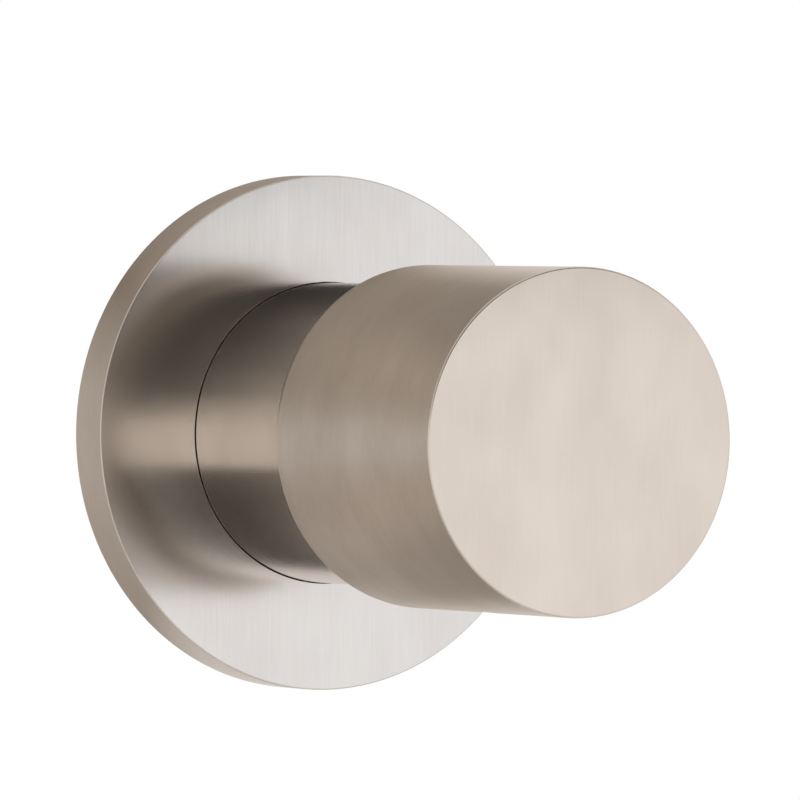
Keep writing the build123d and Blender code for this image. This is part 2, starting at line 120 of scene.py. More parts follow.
@dataclass
class Surface:
    """What a finish's pattern feeds to its shader.

    Args:
        tone: Factor from 0 to 1 between the darker and the lighter colour.
        height: Relief for the bump.
        tangent: Direction in which a brushed metal spreads its reflections, or None.
    """

    tone: Socket
    height: Socket
    tangent: Socket | None = None


@dataclass(frozen=True)
class Finish:
    """A real material with the look that its making gave it.

    Args:
        name: Common name and how the surface was made.
        light: Lighter colour of the surface, sRGB hex.
        dark: Darker colour of the surface, sRGB hex.
        roughness: Roughness in the middle of its range.
        unevenness: How far the roughness varies with the pattern.
        metallic: 1 for a bare metal.
        relief_mm: Height of the relief that the bump draws.
    """

    name: str
    light: str
    dark: str
    roughness: float
    unevenness: float = 0.05
    metallic: float = 0.0
    relief_mm: float = 0.01

    def draw(self, tree: Tree) -> Surface:
        """Draws the pattern, which each finish has of its own."""
        raise NotImplementedError

    def tune(self, shader: Node) -> None:
        """Sets further sockets that are the same all over the surface, where a finish has them."""

    def material(self) -> Material:
        """Builds the material on its first use.

        Returns:
            The material with this finish's name.
        """
        found = bpy.data.materials.get(self.name)
        if found:
            return found
        made = bpy.data.materials.new(self.name)
        made.use_nodes = True
        tree = made.node_tree
        tree.nodes.clear()
        surface = self.draw(tree)
        colours = {FACTOR: surface.tone, COLOUR_A: linear(self.dark), COLOUR_B: linear(self.light)}
        colour = add_node(tree, "ShaderNodeMix", colours, data_type="RGBA")
        limits = {
            "Value": surface.tone,
            "To Min": self.roughness + self.unevenness,
            "To Max": self.roughness - self.unevenness,
        }
        roughness = add_node(tree, "ShaderNodeMapRange", limits)
        bump = {"Height": surface.height, "Distance": self.relief_mm * MM, "Strength": 1.0}
        inputs = {
            "Base Color": colour.outputs[MIXED_COLOUR],
            "Roughness": roughness,
            "Metallic": self.metallic,
            "Normal": add_node(tree, "ShaderNodeBump", bump),
        }
        if surface.tangent is not None:
            inputs["Tangent"] = surface.tangent
        shader = add_node(tree, "ShaderNodeBsdfPrincipled", inputs)
        self.tune(shader)
        add_node(tree, "ShaderNodeOutputMaterial", {"Surface": shader})
        return made


def place_on_piece(tree: Tree) -> tuple[Socket, Socket, Socket]:
    """Place on the piece along X, Y and Z, in metres."""
    place = add_node(tree, "ShaderNodeTexCoord")
    return tuple(add_node(tree, "ShaderNodeSeparateXYZ", {0: place.outputs["Object"]}).outputs)


def round_places(tree: Tree) -> tuple[Socket, Socket, Socket, Socket]:
    """Place on a turned piece, without a seam.

    Args:
        tree: Tree that gets the nodes.

    Returns:
        Distance from the Y axis and depth, in metres, then the direction from the axis as two parts.
    """
    across, depth, upward = place_on_piece(tree)
    arm = add_node(tree, "ShaderNodeCombineXYZ", {"X": across, "Z": upward})
    radius = add_node(tree, "ShaderNodeVectorMath", {0: arm}, operation="LENGTH")
    direction = add_node(tree, "ShaderNodeVectorMath", {0: arm}, operation="NORMALIZE")
    parts = add_node(tree, "ShaderNodeSeparateXYZ", {0: direction}).outputs
    return radius.outputs["Value"], depth, parts["X"], parts["Z"]


def noise(tree: Tree, sizes_mm: Sequence[float], places: Sequence[Socket], detail: float = 2.0) -> Socket:
    """Noise with its own grain size along each of three or four directions.

    Args:
        tree: Tree that gets the nodes.
        sizes_mm: Grain size along each direction.
        places: Place along each direction, in metres.
        detail: How many finer layers the noise has.

    Returns:
        Socket with the noise, about 0.5 in the middle.
    """
    scaled = [add_node(tree, "ShaderNodeMath", {0: place, 1: size * MM}, operation="DIVIDE").outputs[0]
              for place, size in zip(places, sizes_mm)]
    vector = add_node(tree, "ShaderNodeCombineXYZ", dict(enumerate(scaled[:3])))
    pattern = {"Vector": vector, "Scale": 1.0, "Detail": detail, "Roughness": NOISE_ROUGHNESS}
    pattern.update({"W": fourth for fourth in scaled[3:]})
    return add_node(tree, "ShaderNodeTexNoise", pattern, noise_dimensions=f"{len(scaled)}D").outputs[0]


@dataclass(frozen=True)
class BrushedSteel(Finish):
    """Stainless steel brushed with a fine belt, so that it spreads what it mirrors across the grain.

    Args:
        grain: Straight up and down the faces, or round the axis on the turned sides.
        width_mm: Width of a brush line, drawn about twice as wide as it is so that it shows.
        length_mm: Length of a brush line.
        cloud_mm: Width of the faint uneven patches.
        cloud_length_mm: Length of the patches along the grain.
        cloudiness: Share of the patches in the tone, where the rest is lines.
        axis_mm: Radius at which a line on a turned side has its length.
        tones: Stretch of the noise that spans both colours.
        spread: Anisotropy of the reflection.
    """

    grain: Grain = Grain.STRAIGHT
    width_mm: float = 0.22
    length_mm: float = 7.0
    cloud_mm: float = 8.0
    cloud_length_mm: float = 14.0
    cloudiness: float = 0.62
    axis_mm: float = 19.0
    tones: tuple[float, float] = (0.25, 0.75)
    spread: float = 0.7
    metallic: float = 1.0

    def draw(self, tree: Tree) -> Surface:
        """Draws brush lines over faint clouds.

        Args:
            tree: The material's tree.

        Returns:
            Tone, relief and tangent of the brushed surface.
        """
        if self.grain is Grain.STRAIGHT:
            places = place_on_piece(tree)
            along, across = (1.0,), (1.0, 0.0, 0.0)
        else:
            # The last two places are a direction, so a length along them is divided by the radius
            places = round_places(tree)
            along, across = (1 / (self.axis_mm * MM),) * 2, (0.0, 1.0, 0.0)
        line_sizes = (self.width_mm,) * 2 + tuple(self.length_mm * share for share in along)
        cloud_sizes = (self.cloud_mm,) * 2 + tuple(self.cloud_length_mm * share for share in along)
        lines = noise(tree, line_sizes, places, detail=3.0)
        clouds = noise(tree, cloud_sizes, places)
        shares = {FACTOR: self.cloudiness, NUMBER_A: lines, NUMBER_B: clouds}
        both = add_node(tree, "ShaderNodeMix", shares, data_type="FLOAT")
        reach = {"Value": both, "From Min": self.tones[0], "From Max": self.tones[1]}
        tone = add_node(tree, "ShaderNodeMapRange", reach)
        direction = add_node(tree, "ShaderNodeCombineXYZ", dict(enumerate(across)))
        turned = add_node(tree, "ShaderNodeVectorTransform", {0: direction},
                          vector_type="VECTOR", convert_from="OBJECT", convert_to="WORLD")
        return Surface(tone.outputs[0], lines, turned.outputs[0])

    def tune(self, shader: Node) -> None:
        """Sets how far the reflections spread across the grain."""
        shader.inputs["Anisotropic"].default_value = self.spread


@dataclass(frozen=True)
class TurnedMetal(Finish):
    """Metal as it left the lathe, with fine feed rings round its axis.

    Args:
        feed_mm: Distance from ring to ring, drawn coarser than it is so that it shows.
        stain_mm: Size of the faint patches across the rings.
        ring_turn: Turn round the axis over which a ring changes, in radians.
        stain_turn: Turn over which a patch changes, in radians.
        stains: Share of the patches in the tone, where the rest is rings.
    """

    feed_mm: float = 0.22
    stain_mm: float = 6.0
    ring_turn: float = 4.0
    stain_turn: float = 0.9
    stains: float = 0.5
    metallic: float = 1.0

    def draw(self, tree: Tree) -> Surface:
        """Draws fine rings over faint patches.

        Args:
            tree: The material's tree.

        Returns:
            Tone and relief of the turned surface.
        """
        places = round_places(tree)
        rings = noise(tree, (self.feed_mm,) * 2 + (self.ring_turn / MM,) * 2, places, detail=1.0)
        stain = noise(tree, (self.stain_mm,) * 2 + (self.stain_turn / MM,) * 2, places)
        shares = {FACTOR: self.stains, NUMBER_A: rings, NUMBER_B: stain}
        tone = add_node(tree, "ShaderNodeMix", shares, data_type="FLOAT")
        return Surface(tone.outputs[0], rings)


@dataclass(frozen=True)
class CastMetal(Finish):
    """Sand-cast and blasted metal: an even grit all over, brighter where it is milled.

    Args:
        grit_mm: Size of the cast grit.
        cutter_mm: Size of the milling marks along X, Y and Z, drawn coarser than they are so that they show.
        milled_beyond_mm: Height beyond which the port ends are milled.
        contrast: Strength of the grit and the marks in the tone.
        milled_lift: How much lighter the milled ends are.
        milled_relief: Height of the marks, as a share of the grit's.
    """

    grit_mm: float = 0.35
    cutter_mm: tuple[float, float, float] = (0.2, 0.2, 5.0)
    milled_beyond_mm: float = 20.05
    contrast: float = 0.8
    milled_lift: float = 0.35
    milled_relief: float = 0.15
    metallic: float = 1.0

    def draw(self, tree: Tree) -> Surface:
        """Draws grit between the ports and lighter milled ends.

        Args:
            tree: The material's tree.

        Returns:
            Tone and relief of the cast surface.
        """
        places = place_on_piece(tree)
        grit = noise(tree, (self.grit_mm,) * 3, places, detail=3.0)
        marks = noise(tree, self.cutter_mm, places)
        height = add_node(tree, "ShaderNodeMath", {0: places[2]}, operation="ABSOLUTE")
        limits = {0: height, 1: self.milled_beyond_mm * MM}
        milled = add_node(tree, "ShaderNodeMath", limits, operation="GREATER_THAN")
        # Each value between the ports, then on the milled ends
        choices = ((grit, marks), (0.0, self.milled_lift), (1.0, self.milled_relief))
        relief, lift, share = (
            add_node(tree, "ShaderNodeMix", {FACTOR: milled, NUMBER_A: cast, NUMBER_B: cut_flat},
                     data_type="FLOAT")
            for cast, cut_flat in choices
        )
        brightness = {0: relief, 1: self.contrast, 2: lift}
        tone = add_node(tree, "ShaderNodeMath", brightness, operation="MULTIPLY_ADD")
        raised = add_node(tree, "ShaderNodeMath", {0: relief, 1: share}, operation="MULTIPLY")
        return Surface(tone.outputs[0], raised.outputs[0])


@dataclass(frozen=True)
class Moulded(Finish):
    """Moulded or pressed stuff with an even fine texture, such as rubber, acetal, fibre or fired clay.

    Args:
        texture_mm: Size of the texture's grains.
        ior: Index of refraction.
        scatter: Share of light that scatters under the surface.
    """

    texture_mm: float = 0.3
    ior: float = 1.5
    scatter: float = 0.0

    def draw(self, tree: Tree) -> Surface:
        """Draws an even texture on the whole piece."""
        grains = noise(tree, (self.texture_mm,) * 3, place_on_piece(tree), detail=3.0)
        return Surface(grains, grains)

    def tune(self, shader: Node) -> None:
        """Sets the refraction and how milky the stuff is."""
        shader.inputs["IOR"].default_value = self.ior
        shader.inputs["Subsurface Weight"].default_value = self.scatter
        shader.inputs["Subsurface Scale"].default_value = MM


# Stainless steel brushed with a fine belt: greyish, a little warm, with soft mirrored bands. The knob's
# side, the plate's rim and the neck are darker copies of the same steel: painted shade
KNOB_FACE = BrushedSteel("stainless_steel_brushed_knob_face", "#E5DACF", "#D7CBC1", 0.30, 0.03,
                         relief_mm=0.0004, cloud_mm=9.0, cloudiness=0.72)
# Darker than the knob's face: painted shade on the turned side
KNOB_SIDE_SHADED = BrushedSteel("stainless_steel_brushed_knob_side_shaded", "#DCD1C6", "#C5B9AC", 0.30, 0.03,
                         relief_mm=0.0006, grain=Grain.ROUND, width_mm=0.2, length_mm=1.6)
PLATE_FACE = BrushedSteel("stainless_steel_brushed_plate_face", "#E5E1DE", "#DAD5D2", 0.19, 0.02,
                          relief_mm=0.0004, spread=0.5)
# Darker than the plate's face: painted shade on the rim
PLATE_RIM_SHADED = BrushedSteel("stainless_steel_brushed_plate_rim_shaded", "#DAD0C7", "#C6BCB2", 0.30, 0.03,
                         relief_mm=0.0006, grain=Grain.ROUND, length_mm=1.6, axis_mm=30.0)
# Darker and warmer than the faces: painted shade on the neck between plate and knob
NECK_STEEL_SHADED = BrushedSteel("stainless_steel_brushed_neck_shaded", "#D3C5B6", "#C2B3A2", 0.14, 0.02,
                          relief_mm=0.0003, grain=Grain.ROUND, width_mm=0.2, length_mm=1.6, spread=0.35)
# Free-machining brass, turned and left bare: yellow and bright, with feed rings
TURNED_BRASS = TurnedMetal("brass_turned", "#E3C687", "#C6A25E", 0.28, 0.06, relief_mm=0.004)
# Casting brass, sand-cast and blasted: duller and more orange than the turned pieces
CAST_BRASS = CastMetal("brass_sand_cast", "#D9B878", "#B18A4C", 0.42, 0.08, relief_mm=0.05)
# Stainless screw steel, cold formed and turned: grey and fairly bright
SCREW_STEEL = TurnedMetal("stainless_screw_steel_turned", "#C9C6C1", "#A9A6A1", 0.3, 0.05, relief_mm=0.002)
# Spring steel strip, hardened and blued: nearly black with a soft gloss
SPRING_STEEL = TurnedMetal("spring_steel_blued", "#5A5A60", "#3C3C42", 0.38, 0.05, relief_mm=0.002)
# Acetal, injection moulded: milky white with a silky surface
ACETAL = Moulded("acetal_moulded", "#EDEBE4", "#E2DFD6", 0.42, 0.05, relief_mm=0.003, ior=1.48, scatter=0.15)
# Nitrile rubber, pressed in a polished mould: black with a soft shine
NITRILE = Moulded("nitrile_rubber_moulded", "#232323", "#161616", 0.46, 0.06, relief_mm=0.004, ior=1.52)
# Cellular rubber cut from a sheet: dark grey with open pores
CELL_RUBBER = Moulded("cellular_rubber_cut", "#3A3A3B", "#1E1E1F", 0.85, 0.08, relief_mm=0.06,
                      texture_mm=0.45)
# Vulcanised fibre cut from a sheet: red-brown and matt
FIBRE = Moulded("vulcanised_fibre_cut", "#8E4A34", "#6F3626", 0.7, 0.06, relief_mm=0.02, texture_mm=0.6)
# Alumina, fired and lapped flat: off-white with a fine polish
ALUMINA = Moulded("alumina_lapped", "#F1EEE6", "#E8E4DA", 0.16, 0.03, relief_mm=0.001,
                  texture_mm=0.15, ior=1.76)


@dataclass(frozen=True)
class Extent:
    """Reach of a round node at rest, in millimetres.

    Args:
        radius: Largest radius about the Y axis.
        front: Depth of its end in the room.
        rear: Depth of its end in the wall.
    """

    radius: float
    front: float
    rear: float

    @classmethod
    def of(cls, node: str) -> "Extent":
        """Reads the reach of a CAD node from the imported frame."""
        low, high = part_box(node)
        return cls((high.x - low.x) / 2 / MM, low.y / MM, high.y / MM)

    @property
    def length(self) -> float:
        """Length along the axis."""
        return self.rear - self.front


@dataclass(frozen=True)
class Corner:
    """A corner of a turned outline.

    Args:
        radius: Distance from the Y axis in millimetres.
        depth: Place along the Y axis in millimetres.
        rounding: Radius of the rounded edge in millimetres, 0 for a sharp one.
        finish: Place, in the piece's finishes, of the one on the stretch that starts here.
    """

    radius: float
    depth: float
    rounding: float = 0.0
    finish: int = 0

    @property
    def point(self) -> Vector:
        """The corner as a flat point in metres."""
        return Vector((self.radius, self.depth)) * MM


@dataclass(frozen=True)
class Turning:
    """A piece turned about the Y axis from a closed outline.

    Args:
        name: Name of the piece.
        corners: Corners of its closed outline.
        finishes: Finishes that the corners name by place.
        steps: How many steps its circles have.
        arc_steps: How many steps a rounded edge has.
    """

    name: str
    corners: Sequence[Corner]
    finishes: Sequence[Finish]
    steps: int = 360
    arc_steps: int = 6

    def outline(self) -> list[tuple[Vector, int]]:
        """Rounds the corners.

        Returns:
            Each point with the finish of the stretch that starts there.
        """
        points: list[tuple[Vector, int]] = []
        for place, corner in enumerate(self.corners):
            before = self.corners[place - 1]
            after = self.corners[(place + 1) % len(self.corners)]
            if not corner.rounding:
                points.append((corner.point, corner.finish))
                continue
            arc = self.rounded(before.point, corner.point, after.point, corner.rounding * MM)
            points += [(point, corner.finish) for point in arc]
        return points

    def rounded(self, before: Vector, corner: Vector, after: Vector, radius: float) -> list[Vector]:
        """Draws the arc that rounds one corner.

        Args:
            before: Corner before it.
            corner: The corner.
            after: Corner after it.
            radius: Radius of the arc.

        Returns:
            Points of the arc.
        """
        back, ahead = (before - corner).normalized(), (after - corner).normalized()
        half = back.angle(ahead) / 2
        centre = corner + (back + ahead).normalized() * radius / math.sin(half)
        first = (corner + back * radius / math.tan(half) - centre).normalized()
        last = (corner + ahead * radius / math.tan(half) - centre).normalized()
        shares = [step / self.arc_steps for step in range(self.arc_steps + 1)]
        return [centre + first.slerp(last, share) * radius for share in shares]

    def build(self, placement: Matrix | None = None) -> Piece:
        """Turns the outline into a closed mesh.

        Args:
            placement: Where a piece that isn't on the Y axis goes.

        Returns:
            The piece, with smooth faces between its sharp edges.
        """
        outline = self.outline()
        mesh = bmesh.new()
        rings = [self.ring(mesh, point) for point, _ in outline]
        for place, (_, finish) in enumerate(outline):
            self.band(mesh, rings[place], rings[(place + 1) % len(rings)], finish)
        bmesh.ops.recalc_face_normals(mesh, faces=mesh.faces)
        if placement is not None:
            mesh.transform(placement)
        data = bpy.data.meshes.new(self.name)
        mesh.to_mesh(data)
        mesh.free()
        for finish in self.finishes:
            data.materials.append(finish.material())
        piece = bpy.data.objects.new(self.name, data)
        bpy.context.scene.collection.objects.link(piece)
        return piece

    def ring(self, mesh: bmesh.types.BMesh, point: Vector) -> list[bmesh.types.BMVert]:
        """Adds one ring of points, or a single one on the axis.

        Args:
            mesh: Mesh that gets the points.
            point: Radius and depth of the ring.

        Returns:
            The new points.
        """
        if point.x < ON_AXIS:
            return [mesh.verts.new((0, point.y, 0))]
        turns = [2 * math.pi * step / self.steps for step in range(self.steps)]
        return [mesh.verts.new((point.x * math.cos(t), point.y, point.x * math.sin(t))) for t in turns]

    def band(self, mesh: bmesh.types.BMesh, first: list, second: list, finish: int) -> None:
        """Joins two rings by faces with one finish.

        Args:
            mesh: Mesh that gets the faces.
            first: Points of a ring.
            second: Points of the next ring.
            finish: Place of the faces' finish in the piece's finishes.
        """
        if len(first) == 1 and len(second) == 1:
            return
        for step in range(self.steps):
            following = (step + 1) % self.steps
            around = [first[step % len(first)], first[following % len(first)],
                      second[following % len(second)], second[step % len(second)]]
            face = mesh.faces.new(list(dict.fromkeys(around)))
            face.material_index = finish
            face.smooth = True


def settle(piece: Piece, sharp_degrees: float = 40.0) -> Piece:
    """Applies a piece's modifiers and gives its rounded edges clean normals.

    Args:
        piece: Piece with a mesh.
        sharp_degrees: Angle above which an edge is sharp.

    Returns:
        The same piece with a plain mesh.
    """
    flatten(piece)
    piece.data.set_sharp_from_angle(angle=math.radians(sharp_degrees))
    weighted = piece.modifiers.new("weighted", "WEIGHTED_NORMAL")
    weighted.keep_sharp = True
    flatten(piece)
    return piece


def flatten(piece: Piece) -> None:
    """Turns a piece and its modifiers into a plain mesh.

    Args:
        piece: Piece that may have modifiers.
    """
    if not piece.modifiers:
        return
    graph = bpy.context.evaluated_depsgraph_get()
    shaped = piece.evaluated_get(graph)
    data = bpy.data.meshes.new_from_object(shaped, preserve_all_data_layers=True, depsgraph=graph)
    piece.modifiers.clear()
    old, piece.data = piece.data, data
    data.name = old.name
    bpy.data.meshes.remove(old)


def cut(piece: Piece, cutter: Piece) -> None:
    """Cuts one closed mesh out of another.

    Args:
        piece: Piece that is cut.
        cutter: Piece that cuts it and is then removed.
    """
    knife = piece.modifiers.new("cut", "BOOLEAN")
    knife.operation = "DIFFERENCE"
    knife.solver = "EXACT"
    knife.object = cutter
    flatten(piece)
    bpy.data.objects.remove(cutter)


class NodeTool:
    """A Geometry Nodes tree with named sizes, run once for each piece that it makes."""

    def __init__(self, name: str, sizes: Sequence[str]) -> None:
        """Starts the tree.

        Args:
            name: Name of the tree.
            sizes: Names of its inputs, lengths in metres or plain numbers.
        """
        self.tree = bpy.data.node_groups.new(name, "GeometryNodeTree")
        interface = self.tree.interface
        self.sockets = {}
        for size in sizes:
            socket = interface.new_socket(size, in_out="INPUT", socket_type="NodeSocketFloat")
            self.sockets[size] = socket.identifier
        finish = interface.new_socket("Finish", in_out="INPUT", socket_type="NodeSocketMaterial")
        self.finish = finish.identifier
        interface.new_socket("Geometry", in_out="OUTPUT", socket_type="NodeSocketGeometry")
        self.inputs = self.tree.nodes.new("NodeGroupInput").outputs

    def node(self, kind: str, inputs: dict[Any, Any] | None = None, **settings: Any) -> Node:
        """Adds a node to the tree."""
        return add_node(self.tree, kind, inputs, **settings)

    def end(self, geometry: Node) -> None:
        """Ends the tree with plain, smooth and finished geometry.

        Args:
            geometry: Node that gives the shape.
        """
        smooth = self.node("GeometryNodeSetShadeSmooth", {"Geometry": geometry})
        real = self.node("GeometryNodeRealizeInstances", {0: smooth})
        dressed = self.node("GeometryNodeSetMaterial", {"Geometry": real, "Material": self.inputs["Finish"]})
        self.node("NodeGroupOutput", {0: dressed})

    def run(self, name: str, sizes: dict[str, float], finish: Finish) -> Piece:
        """Makes one piece.

        Args:
            name: Name of the piece.
            sizes: Value for each named size.
            finish: Finish of the piece.

        Returns:
            The piece as a plain mesh.
        """
        piece = bpy.data.objects.new(name, bpy.data.meshes.new(name))
        bpy.context.scene.collection.objects.link(piece)
        modifier = piece.modifiers.new("shape", "NODES")
        modifier.node_group = self.tree
        for size, value in sizes.items():
            modifier[self.sockets[size]] = value
        modifier[self.finish] = finish.material()
        flatten(piece)
        return piece


class RingTool(NodeTool):
    """Makes O-rings about the Y axis: a round section carried round a circle."""

    SIZES = ("Ring radius", "Section radius", "Depth")

    def __init__(self, ring_steps: int = 180, section_steps: int = 24) -> None:
        """Builds the tree.

        Args:
            ring_steps: Steps round the ring.
            section_steps: Steps round its section.
        """
        super().__init__("o_ring", self.SIZES)
        path = self.node("GeometryNodeCurvePrimitiveCircle",
                         {"Radius": self.inputs["Ring radius"], "Resolution": ring_steps})
        section = self.node("GeometryNodeCurvePrimitiveCircle",
                            {"Radius": self.inputs["Section radius"], "Resolution": section_steps})
        swept = self.node("GeometryNodeCurveToMesh", {"Curve": path, "Profile Curve": section})
        depth = self.node("ShaderNodeCombineXYZ", {"Y": self.inputs["Depth"]})
        placed = self.node("GeometryNodeTransform", {
            "Geometry": swept,
            "Translation": depth,
            "Rotation": (math.pi / 2, 0.0, 0.0),
        })
        self.end(placed)

    def make(self, node: str, body: str) -> Piece:
        """Makes the O-ring that stands for a CAD node of the same reach.

        Args:
            node: CAD node that it stands for.
            body: CAD body that it rides on.

        Returns:
            The O-ring.
        """
        reach = Extent.of(node)
        section = reach.length / 2
        middle = (reach.front + reach.rear) / 2
        values = (reach.radius - section, section, middle)
        sizes = {name: value * MM for name, value in zip(self.SIZES, values)}
        piece = self.run(f"{node}_moulded", sizes, NITRILE)
        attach(piece, body)
        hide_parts(node)
        return piece


class ThreadTool(NodeTool):
    """Makes the crests of an inside thread about an upright axis: a flat triangle carried along a helix."""

    SIZES = ("Wall radius", "Crest", "Pitch", "Length", "Depth", "Height")
    # The triangle's side is 1.73 times this share of the pitch, so neighbouring crests almost meet
    WIDTH_SHARE = 0.55

    def __init__(self, steps: int = 72) -> None:
        """Builds the tree.

        Args:
            steps: Steps in one turn of the helix.
        """
        super().__init__("inside_thread", self.SIZES)
        value = {size: self.inputs[size] for size in self.SIZES}
        turns = self.node("ShaderNodeMath", {0: value["Length"], 1: value["Pitch"]}, operation="DIVIDE")
        helix = self.node("GeometryNodeCurveSpiral", {
            "Resolution": steps,
            "Rotations": turns,
            "Start Radius": value["Wall radius"],
            "End Radius": value["Wall radius"],
            "Height": value["Length"],
        })
        upright = self.node("GeometryNodeSetCurveNormal", {"Curve": helix}, mode="Z_UP")
        triangle = self.node("GeometryNodeCurvePrimitiveCircle", {"Resolution": 3, "Radius": 1.0})
        width = self.node("ShaderNodeMath", {0: value["Pitch"], 1: self.WIDTH_SHARE}, operation="MULTIPLY")
        scale = self.node("ShaderNodeCombineXYZ", {"X": value["Crest"], "Y": width, "Z": 1.0})
        section = self.node("GeometryNodeTransform", {"Geometry": triangle, "Scale": scale})
        thread = {"Curve": upright, "Profile Curve": section, "Fill Caps": True}
        swept = self.node("GeometryNodeCurveToMesh", thread)
        place = self.node("ShaderNodeCombineXYZ", {"Y": value["Depth"], "Z": value["Height"]})
        placed = self.node("GeometryNodeTransform", {"Geometry": swept, "Translation": place})
        self.end(placed)


def square_ring(reach: Extent, bore: float, rounding: float) -> list[Corner]:
    """Outline of a plain ring with the reach of a CAD node.

    Args:
        reach: Reach of the node.
        bore: Radius of the ring's hole, in millimetres.
        rounding: Radius of its rounded edges, in millimetres.

    Returns:
        Its four corners.
    """
    places = ((bore, reach.front), (reach.radius, reach.front),
              (reach.radius, reach.rear), (bore, reach.rear))
    return [Corner(radius, depth, rounding) for radius, depth in places]


@dataclass
class WallTrim:
    """Wall plate, neck tube and the gasket behind the plate.

    Args:
        rim_edge_mm: Rounding of the plate's front edge.
        bore_edge_mm: Rounding of the plate's bore in front.
        back_edge_mm: Rounding of the edges at its back.
        corner_mm: Rounding of the corners in its hollow back.
        tube_edge_mm: Rounding of the tube's edges.
        bore_gap_mm: Room drawn between plate and neck tube, as thin as the photograph shows it.
        front_wall_mm: Thickness of the plate over its hollow back.
        collar_wall_mm: Wall of the collar outside its O-ring groove.
        gasket_width_mm: Width of the gasket.
        gasket_land_mm: Wall between the gasket and the hollow.
        tube_wall_mm: Wall of the neck tube.
        groove_room_mm: Room round the O-ring in its groove.
    """

    rim_edge_mm: float = 0.15
    bore_edge_mm: float = 0.03
    back_edge_mm: float = 0.1
    corner_mm: float = 0.3
    tube_edge_mm: float = 0.3
    bore_gap_mm: float = 0.1
    front_wall_mm: float = 2.6
    collar_wall_mm: float = 1.0
    gasket_width_mm: float = 2.0
    gasket_land_mm: float = 0.9
    tube_wall_mm: float = 1.2
    groove_room_mm: float = 0.05

    def build(self) -> list[Piece]:
        """Builds the trim's pieces."""
        return [self.plate(), self.tube(), self.gasket()]

    def plate(self) -> Piece:
        """Builds the round cover plate with its hollow back and grooves.

        Returns:
            The plate, which stands for the node wall_flange.
        """
        plate, tube = Extent.of("wall_flange"), Extent.of("cover_sleeve")
        seal, gasket = Extent.of("flange_o_ring"), Extent.of("wall_gasket")
        bore = tube.radius + self.bore_gap_mm
        groove = seal.radius + self.groove_room_mm
        collar = groove + self.collar_wall_mm
        recess = gasket.radius - self.gasket_width_mm
        hollow = recess - self.gasket_land_mm
        floor = plate.front + self.front_wall_mm
        groove_front, groove_rear = seal.front - self.groove_room_mm, seal.rear + self.groove_room_mm
        corners = [Corner(bore, plate.front, self.bore_edge_mm, finish=0)]
        corners += [Corner(radius, depth, rounding, finish=1) for radius, depth, rounding in (
            (plate.radius, plate.front, self.rim_edge_mm),
            (plate.radius, plate.rear, self.back_edge_mm),
            (gasket.radius, plate.rear, 0.0),
            (gasket.radius, gasket.front, 0.0),
            (recess, gasket.front, 0.0),
            (recess, plate.rear, 0.0),
            (hollow, plate.rear, self.back_edge_mm),
            (hollow, floor, self.corner_mm),
            (collar, floor, self.corner_mm),
            (collar, plate.rear, self.back_edge_mm),
            (bore, plate.rear, self.back_edge_mm),
            (bore, groove_rear, 0.0),
            (groove, groove_rear, 0.0),
            (groove, groove_front, 0.0),
            (bore, groove_front, 0.0),
        )]
        piece = settle(Turning("wall_plate", corners, (PLATE_FACE, PLATE_RIM_SHADED)).build())
        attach(piece, "flange")
        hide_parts("wall_flange")
        return piece

    def tube(self) -> Piece:
        """Builds the neck tube.

        Returns:
            The tube, which stands for the node cover_sleeve.
        """
        tube = Extent.of("cover_sleeve")
        corners = square_ring(tube, tube.radius - self.tube_wall_mm, self.tube_edge_mm)
        piece = settle(Turning("neck_tube", corners, (NECK_STEEL_SHADED,)).build())
        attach(piece, "valve")
        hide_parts("cover_sleeve")
        return piece

    def gasket(self) -> Piece:
        """Builds the flat gasket in the plate's back.

        Returns:
            The gasket, which stands for the node wall_gasket.
        """
        gasket = Extent.of("wall_gasket")
        corners = square_ring(gasket, gasket.radius - self.gasket_width_mm, self.back_edge_mm)
        piece = settle(Turning("wall_gasket_cut", corners, (CELL_RUBBER,)).build())
        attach(piece, "flange")
        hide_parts("wall_gasket")
        return piece


